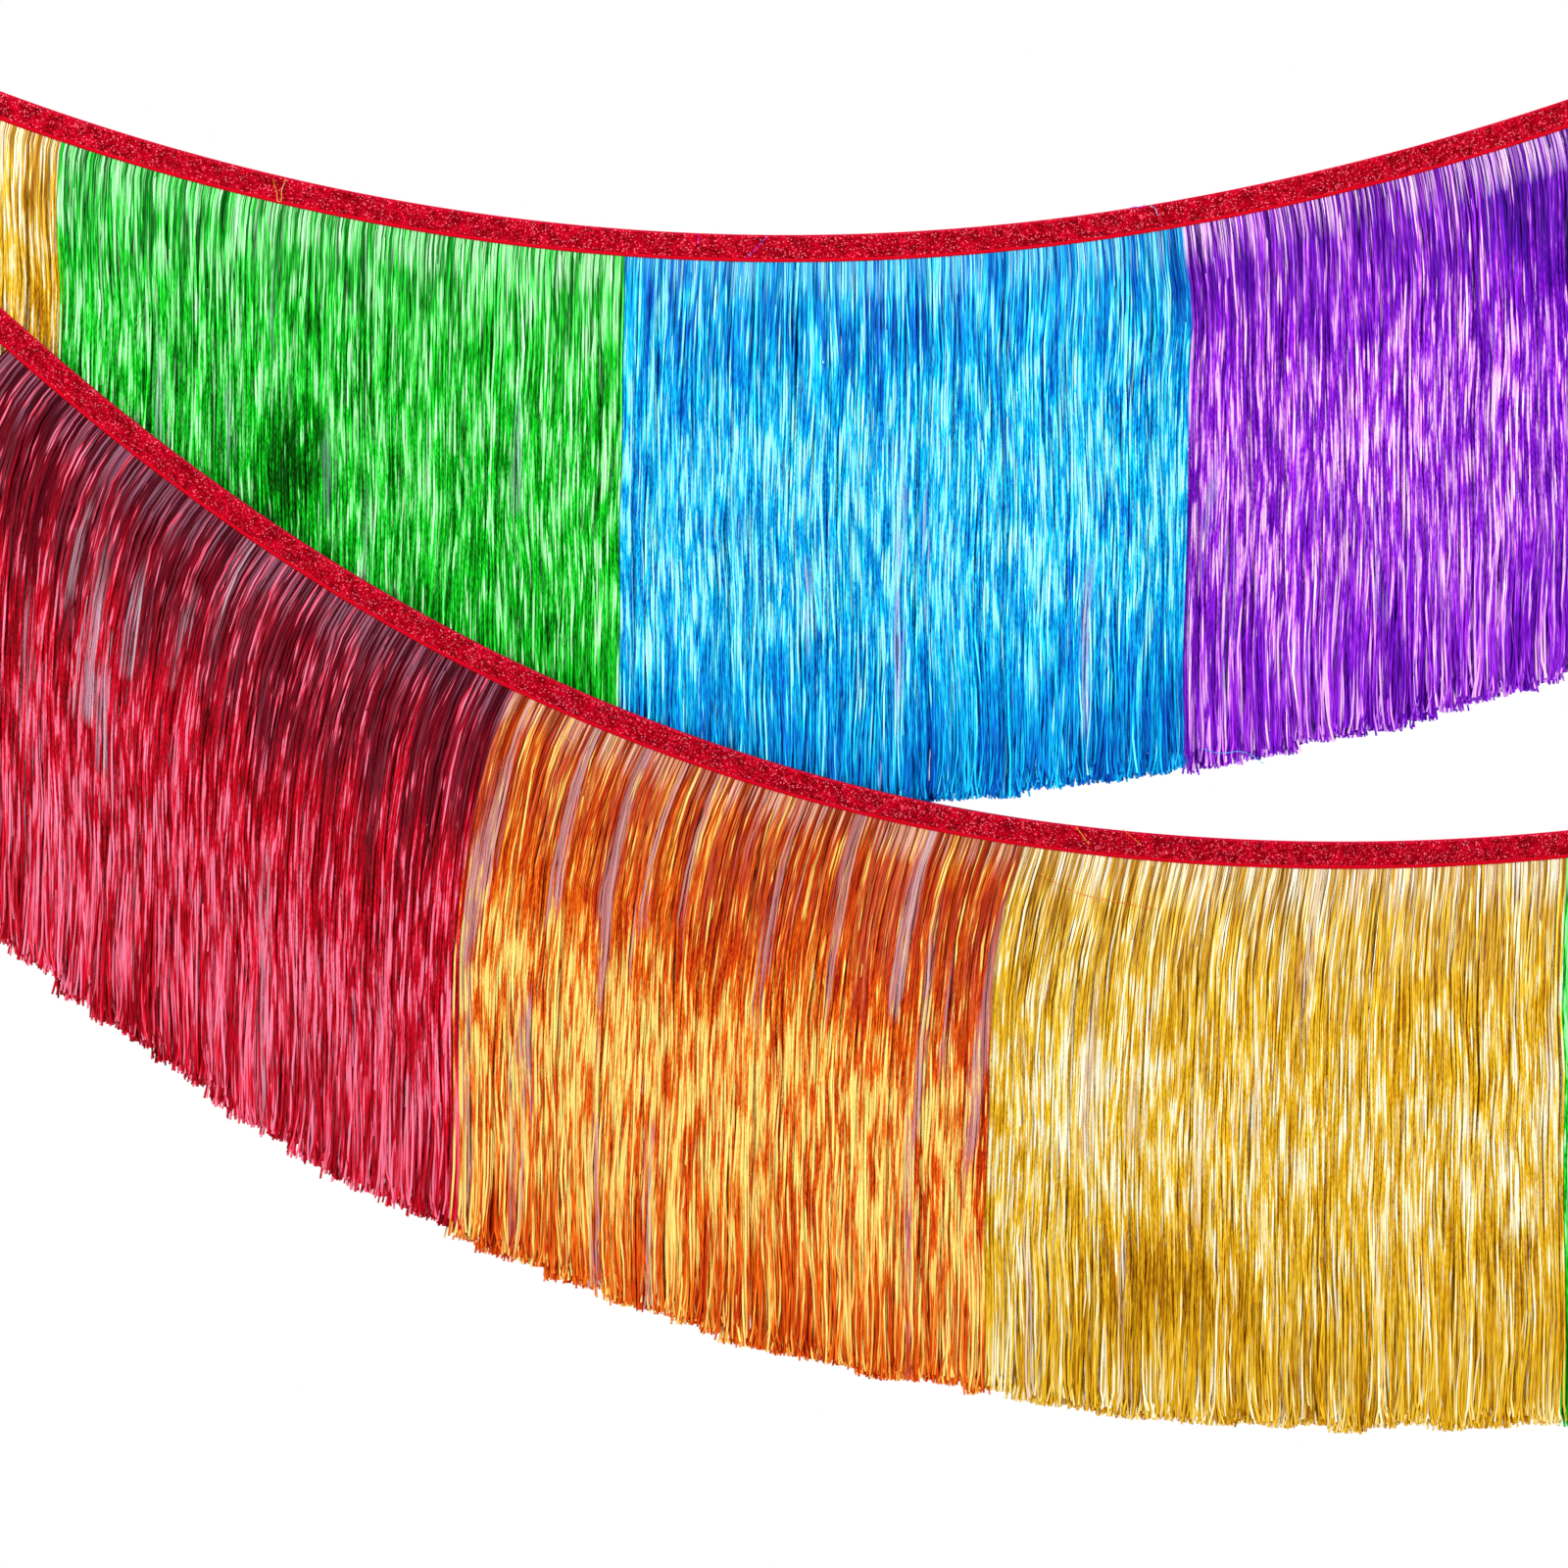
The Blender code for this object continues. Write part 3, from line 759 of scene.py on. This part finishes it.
    # The section is a flat triangle, and its far corners are a strip's two edges
    cornerReach = 0.577
    hardAngle = math.radians(100)
    section = shaped(tree, "CurvePrimitiveCircle", {"Resolution": 3, "Radius": cornerReach})
    section = keep(section, "stripAcross", times(partOf(place, 1), 2.0))
    size = combined(given["Strip Thickness"], given["Strip Width"], 1.0)
    section = shaped(tree, "Transform", {"Geometry": section, "Scale": size})
    mesh = shaped(tree, "CurveToMesh", {"Curve": strips, "Profile Curve": section, "Fill Caps": True})
    corner = tree.nodes.new("GeometryNodeInputMeshEdgeAngle").outputs["Unsigned Angle"]
    corner = maths("GREATER_THAN", corner, hardAngle)
    mesh = shaped(tree, "SetShadeSmooth",
                  {"Geometry": mesh, "Selection": corner, "Shade Smooth": False}, domain="EDGE")
    closeTree(mesh, given["Foil"])
    return tree


def makeFringes():
    tree = foilTree()
    finishes = {name: foilFinish(name, foil) for name, foil in foils.items()}
    values = {titled(key): value for key, value in fringe.items()}
    drop = tape["width"] / 2 - fringe["rootHold"]
    steps = 48
    seed = 3
    for swag in (upperSwag, lowerSwag):
        for number, ((colour, length, _), start) in enumerate(zip(swag["panels"], swag["starts"])):
            name = swag["name"] + "_" + colour
            route = [tapePoint(swag, start + length * i / steps, drop)[0] for i in range(steps + 1)]
            seed += 10  # each panel has ten draws of its own
            for title, key in (("Length", "strips"), ("Droop", "droops"), ("Lean", "leans")):
                values["First " + title], values["Last " + title] = swag[key][number:number + 2]
            values["Bulge Place"], values["Bulge Depth"], values["Bulge Shift"] = swag["bulge"]
            values.update({"Start": start, "Length": length, "Swag Seed": swag["seed"], "Seed": seed,
                           "Foil": finishes[colour]})
            piece = growPiece(name + "_foil", route, tree, values)
            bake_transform(piece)
            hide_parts(name + "_fringe")


makeFringes()
print("fringes ready")


# Tapes: a ribbed glitter ribbon, folded over the headings, with a plain edge at the bottom
tapeLook = {
    "step": 0.0024, "edgeWidth": 0.0012, "edgeBulge": 0.00006, "edgeGap": 0.0001, "ribs": 9,
    "ribHeight": 0.00004, "foldSteps": 8, "creaseSteps": 6, "waveRate": 140.0, "waviness": 0.0003,
    "chipDensity": 900000.0, "chipSize": 0.00020, "chipHeight": 0.00008, "chipTilt": 0.5,
    "smallChip": (0.5, 0.5, 0.6), "largeChip": (1.4, 1.0, 1.2), "chipRoom": 0.0003, "chipSides": 4,
    "leastChance": 0.01,
    "shine": (0.4, 0.85, 0.1), "bump": (0.5, 0.0001), "clothRate": 1100.0, "cloudRate": 220.0, "clouds": 0.8,
    "clothStretch": (0.5, 1.0, 1.0), "ribStretch": (1.0, 0.1, 1.0),
    "clothTones": [(0.30, (112, 0, 8)), (0.5, (156, 0, 18)), (0.72, (196, 0, 32))],
    "grainRate": 1800.0, "dotRarity": (0.60, 0.66), "dotRim": (0.34, 0.50),
    "dotTones": [(0.64, (228, 14, 52)), (0.82, (250, 56, 88)), (0.95, (255, 128, 148))],
    "foldWidth": 0.0010, "foldShare": 0.9, "foldTone": (240, 30, 76),
    "ribRate": 2400.0, "edgeTones": [(0.3, (188, 0, 22)), (0.7, (222, 10, 36))],
    "chipTones": [(0.0, (124, 0, 10)), (0.50, (172, 0, 24)), (0.78, (216, 10, 46)), (0.86, (246, 60, 90)),
                  (1.0, (255, 140, 158))],
}
plainEdge = tape["width"] / 2 - tapeLook["edgeWidth"]


def glitterFinish():
    look = tapeLook
    material, tree, shader = newFinish("red_glitter_ribbon", *look["shine"])
    across = attribute(tree, "tapeAcross")
    along = attribute(tree, "tapeAlong")
    chip = attribute(tree, "chipChance")
    place = combined(along, across, 0.0)
    cloth = noise(vectors("MULTIPLY", place, look["clothStretch"]), look["clothRate"], 2.0)
    shade = timesPlus(noise(place, look["cloudRate"]), look["clouds"], cloth)
    colour = ramped(plus(shade, 0.5), look["clothTones"])

    # Flat dots of glitter between the raised chips; their brighter pinks are a painted sparkle
    cells = addNode(tree, "ShaderNodeTexVoronoi", {"Vector": place, "Scale": look["grainRate"]}).outputs
    grain = partOf(cells["Color"], 0)
    dots = times(ranged(grain, *look["dotRarity"], 0.0, 1.0),
                 ranged(cells["Distance"], *look["dotRim"], 1.0, 0.0))
    colour = mixed(dots, colour, ramped(grain, look["dotTones"]))

    # The fold catches the light, and the plain edge shows its ribs
    half = tape["width"] / 2
    foldShare = ranged(across, -half, -half + look["foldWidth"], look["foldShare"], 0.0)
    colour = mixed(foldShare, colour, srgb(*look["foldTone"]))
    edgeShare = ranged(across, plainEdge - look["edgeGap"], plainEdge, 0.0, 1.0)
    ribs = noise(vectors("MULTIPLY", place, look["ribStretch"]), look["ribRate"])
    colour = mixed(edgeShare, colour, ramped(plus(ribs, 0.5), look["edgeTones"]))
    isChip = maths("GREATER_THAN", chip, look["leastChance"] / 10)  # the ribbon has no chance and reads 0
    # Chips take a tone by their chance; the pale pink ones are a painted sparkle
    colour = mixed(isChip, colour, ramped(chip, look["chipTones"]))
    closeFinish(shader, colour, shade, *look["bump"])
    return material


def tapeSection():
    # The fold is at the top of the outline; x is the ribbon's depth and y its height
    half = tape["width"] / 2
    outer = tape["thickness"] / 2
    inner = outer - tape["wall"]
    bend = half - outer
    edge = -half + tapeLook["edgeWidth"]
    steps = 2 * tapeLook["ribs"]
    side = [(outer, -half), (outer + tapeLook["edgeBulge"], (edge - half) / 2), (outer, edge)]
    for i in range(1, steps):
        height = edge + (bend - edge) * i / steps
        side.append((outer + (tapeLook["ribHeight"] if i % 2 else 0), height))
    points = list(side)
    for i in range(tapeLook["foldSteps"] + 1):
        turn = math.pi * i / tapeLook["foldSteps"]
        points.append((outer * math.cos(turn), bend + outer * math.sin(turn)))
    points += [(-x, y) for x, y in reversed(side)]
    points.append((-inner, -half))
    for i in range(tapeLook["creaseSteps"] + 1):
        turn = math.pi * (1 - i / tapeLook["creaseSteps"])
        points.append((inner * math.cos(turn), bend + inner * math.sin(turn)))
    points.append((inner, -half))
    section = addLine("tape_section", [(x, y, 0) for x, y in points])
    section.data.splines[0].use_cyclic_u = True
    return section


def tapeTree():
    tree = newTree("glitterTape")
    given = offerInputs(tree, [
        ("Route", "Geometry"), ("Section", "Object"), ("Wave Rate", "Float"), ("Waviness", "Float"),
        ("Chip Density", "Float"), ("Chip Size", "Float"), ("Chip Height", "Float"), ("Chip Tilt", "Float"),
        ("Small Chip", "Vector"), ("Large Chip", "Vector"), ("Chip Limit", "Float"), ("Outer Depth", "Float"),
        ("Swag Depth", "Float"), ("Seed", "Int"), ("Ribbon", "Material")], "Tape")
    way = shaped(tree, "InputTangent")
    place = shaped(tree, "InputPosition")
    route = keep(given["Route"], "routeWay", way, "FLOAT_VECTOR")
    route = keep(route, "routePlace", place, "FLOAT_VECTOR")
    route = keep(route, "tapeAlong", addNode(tree, "GeometryNodeSplineParameter").outputs["Length"])
    route = shaped(tree, "SetCurveNormal", {"Curve": route, "Normal": (0, 1, 0)}, mode="FREE")
    section = addNode(tree, "GeometryNodeObjectInfo", {"Object": given["Section"]}).outputs["Geometry"]
    mesh = shaped(tree, "CurveToMesh", {"Curve": route, "Profile Curve": section, "Fill Caps": True})
    down = vectors("CROSS_PRODUCT", (0, 1, 0), recall(tree, "routeWay", "FLOAT_VECTOR"))
    offset = vectors("SUBTRACT", place, recall(tree, "routePlace", "FLOAT_VECTOR"))
    mesh = keep(mesh, "tapeAcross", vectors("DOT_PRODUCT", offset, down))
    ripple = times(noise(place, given["Wave Rate"]), given["Waviness"])
    mesh = shaped(tree, "SetPosition", {"Geometry": mesh, "Offset": combined(0.0, ripple, 0.0)})

    # Chips lie on the outer faces, above the plain edge
    depth = maths("ABSOLUTE", minus(partOf(place, 1), given["Swag Depth"]))
    outside = maths("GREATER_THAN", depth, given["Outer Depth"])
    above = maths("LESS_THAN", recall(tree, "tapeAcross"), given["Chip Limit"])
    inputs = {"Mesh": mesh, "Selection": times(outside, above), "Density": given["Chip Density"],
              "Seed": given["Seed"]}
    spots = addNode(tree, "GeometryNodeDistributePointsOnFaces", inputs).outputs
    points = keep(spots["Points"], "chipChance", drawn(tree, tapeLook["leastChance"], 1.0, 4))
    inputs = {"Vertices": tapeLook["chipSides"], "Radius Top": 0.0, "Radius Bottom": given["Chip Size"],
              "Depth": given["Chip Height"]}
    chip = shaped(tree, "MeshCone", inputs)
    low = scaled((1, 1, 0), times(given["Chip Tilt"], -1.0))
    high = vectors("ADD", scaled((1, 1, 0), given["Chip Tilt"]), (0, 0, 2 * math.pi))
    inputs = {0: spots["Rotation"], 1: drawn(tree, low, high, 5, "FLOAT_VECTOR")}
    turned = addNode(tree, "FunctionNodeRotateRotation", inputs, rotation_space="LOCAL").outputs[0]
    size = drawn(tree, given["Small Chip"], given["Large Chip"], 6, "FLOAT_VECTOR")
    inputs = {"Points": points, "Instance": chip, "Rotation": turned, "Scale": size}
    chips = shaped(tree, "InstanceOnPoints", inputs)
    joined = tree.nodes.new("GeometryNodeJoinGeometry")
    tree.links.new(chips, joined.inputs[0])
    tree.links.new(mesh, joined.inputs[0])
    closeTree(joined.outputs[0], given["Ribbon"])
    return tree


def makeTapes():
    tree = tapeTree()
    section = tapeSection()
    seed = 11
    values = {titled(key): value for key, value in tapeLook.items()}
    values.update({"Section": section, "Chip Limit": plainEdge - tapeLook["edgeGap"],
                   "Outer Depth": tape["thickness"] / 2 - tapeLook["chipRoom"], "Ribbon": glitterFinish()})
    for number, swag in enumerate((upperSwag, lowerSwag)):
        span = swag["length"] - tape["loopReach"]
        steps = round(span / tapeLook["step"])
        route = [tapePoint(swag, tape["loopReach"] + span * i / steps)[0] for i in range(steps + 1)]
        piece = growPiece(swag["name"] + "_glitter_tape", route, tree,
                          {**values, "Swag Depth": swag["y"], "Seed": seed + number})
        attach(piece, "tapes")
        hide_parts(swag["name"] + "_tape")
    bpy.data.objects.remove(section)


makeTapes()
print("tapes ready")


# Finishes of the pieces that keep their CAD shape: headings, glue and ribbon loops
creaseLook = {
    "stretch": (1.0, 1.0, 0.12), "rate": 1300.0, "places": (0.30, 0.45, 0.60, 0.75), "bump": (0.5, 0.0002),
}


def creasedFinish(name, tones):
    # Plain foil with fine upright creases: the creases are in the bump, and along them the colour has painted
    # shade and highlights
    material, tree, shader = newFinish(name, *foilLook["shine"])
    place = vectors("MULTIPLY", objectPlace(tree), creaseLook["stretch"])
    creases = noise(place, creaseLook["rate"], 2.0)
    colour = ramped(plus(creases, 0.5), list(zip(creaseLook["places"], tones)))
    closeFinish(shader, colour, creases, *creaseLook["bump"], foilLook["skin"])
    return material


ribbonLook = {
    "shine": (0.5, 0.0, 0.3), "threadPitch": 0.0005, "bump": (0.6, 0.00008), "threads": 0.12,
    "wearRate": 260.0,
    "tones": [(0.25, (128, 0, 16)), (0.5, (178, 4, 30)), (0.8, (214, 30, 54))],
    "sheenPlaces": (0.2, 0.8), "skin": (0.62, 0.40),
}


def ribbonFinish():
    # Plain weave: two rows of threads that pass over each other
    look = ribbonLook
    material, tree, shader = newFinish("red_woven_ribbon", *look["shine"])
    place = objectPlace(tree)
    rows = vectors("SINE", scaled(place, 2 * math.pi / look["threadPitch"]))
    weave = timesPlus(partOf(rows, 0), partOf(rows, 2), partOf(rows, 1))
    level = plus(timesPlus(weave, look["threads"], 0.5), noise(place, look["wearRate"], 2.0))
    closeFinish(shader, ramped(level, look["tones"]), weave, *look["bump"])
    tree.links.new(ranged(level, *look["sheenPlaces"], *look["skin"]), shader.inputs["Roughness"])
    return material


glueLook = {
    "shine": (0.2, 0.0, 0.5), "clearness": 0.85, "bending": 1.48, "waveRate": 500.0,
    "bump": (0.4, 0.0003), "skin": (0.12, 0.34),
    "tones": [(0.3, (238, 230, 206)), (0.7, (252, 250, 240))],
}


def glueFinish():
    # Clear hot glue with a slightly wavy skin
    material, tree, shader = newFinish("clear_glue", *glueLook["shine"])
    shader.inputs["Transmission Weight"].default_value = glueLook["clearness"]
    shader.inputs["IOR"].default_value = glueLook["bending"]
    waves = noise(objectPlace(tree), glueLook["waveRate"], 2.0)
    colour = ramped(plus(waves, 0.5), glueLook["tones"])
    closeFinish(shader, colour, waves, *glueLook["bump"], glueLook["skin"])
    return material


def paintNode(name, finish):
    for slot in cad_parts[name].material_slots:
        slot.material = finish


def paintPieces():
    glue = glueFinish()
    ribbon = ribbonFinish()
    creased = {name: creasedFinish(name + "_creased_foil", foil["tones"][1:]) for name, foil in foils.items()}
    for swag in (upperSwag, lowerSwag):
        for colour, _, _ in swag["panels"]:
            paintNode(swag["name"] + "_" + colour + "_heading", creased[colour])
            paintNode(swag["name"] + "_" + colour + "_glue", glue)
        paintNode(swag["name"] + "_right_loop", ribbon)
        paintNode(swag["name"] + "_right_loop_tongue", ribbon)
    paintNode("left_hanging_loop", ribbon)
    return creased


creasedFoils = paintPieces()
print("headings, glue and loops painted")


# Stray strands of foil that lie on the tapes and on the fringe, as (name, foil, body, y, points in x and z)
strandRadius = 0.00012
onUpperTape = upperSwag["y"] - tape["thickness"] / 2 - strandRadius
onLowerTape = lowerSwag["y"] - tape["thickness"] / 2 - strandRadius
onUpperFringe = upperSwag["y"] - fringe["layerDepth"] - 2 * strandRadius
onLowerFringe = lowerSwag["y"] - fringe["layerDepth"] - 2 * strandRadius
strands = [
    ("strand_on_green_tape", "gold", "tapes", onUpperTape,
     [(0.3240, -0.1474), (0.3254, -0.1520), (0.3263, -0.1553), (0.3272, -0.1510), (0.3286, -0.1472)]),
    ("strand_on_blue_tape", "purple", "tapes", onUpperTape,
     [(0.4779, -0.1671), (0.4783, -0.1686), (0.4781, -0.1706)]),
    ("strand_on_blue_tape_slanting", "purple", "tapes", onUpperTape,
     [(0.5033, -0.1678), (0.5000, -0.1712), (0.4960, -0.1756)]),
    ("strand_over_blue_tape", "purple", "tapes", onUpperTape,
     [(0.6342, -0.1578), (0.6362, -0.1571), (0.6386, -0.1574), (0.6402, -0.1562)]),
    ("strand_at_blue_seam", "blue", "tapes", onUpperTape,
     [(0.6420, -0.1566), (0.6436, -0.1575), (0.6449, -0.1604)]),
    ("strand_on_gold_tape", "gold", "tapes", onLowerTape,
     [(0.6150, -0.3820), (0.6171, -0.3848), (0.6196, -0.3882)]),
    ("strand_on_gold_tape_longer", "orange", "tapes", onLowerTape,
     [(0.6318, -0.3828), (0.6346, -0.3852), (0.6384, -0.3884)]),
    ("strand_across_gold", "orange", "lower_gold_panel", onLowerFringe,
     [(0.6020, -0.3988), (0.6140, -0.4052), (0.6300, -0.4090), (0.6442, -0.4117)]),
    ("strand_in_orange", "gold", "lower_orange_panel", onLowerFringe,
     [(0.4290, -0.3490), (0.4322, -0.3512), (0.4312, -0.3542), (0.4298, -0.3570)]),
    ("strand_in_green", "green", "upper_green_panel", onUpperFringe,
     [(0.2737, -0.2020), (0.2756, -0.1972), (0.2785, -0.1920)]),
    ("strand_across_purple", "blue", "upper_purple_panel", onUpperFringe,
     [(0.6612, -0.3536), (0.6668, -0.3552), (0.6760, -0.3548), (0.6832, -0.3590)]),
]


def makeStrands():
    for name, colour, body, y, points in strands:
        curve = bpy.data.curves.new(name, "CURVE")
        curve.dimensions = "3D"
        curve.bevel_depth = strandRadius
        curve.bevel_resolution = 1
        curve.resolution_u = 6
        curve.use_fill_caps = True
        spline = curve.splines.new("BEZIER")
        spline.bezier_points.add(len(points) - 1)
        for point, (x, z) in zip(spline.bezier_points, points):
            point.co = (x, y, z)
            point.handle_left_type = point.handle_right_type = "AUTO"
        piece = plainPiece(name, addItem(name + "_line", curve))
        piece.data.materials.append(creasedFoils[colour])
        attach(piece, body)
    print(len(strands), "stray strands")


makeStrands()
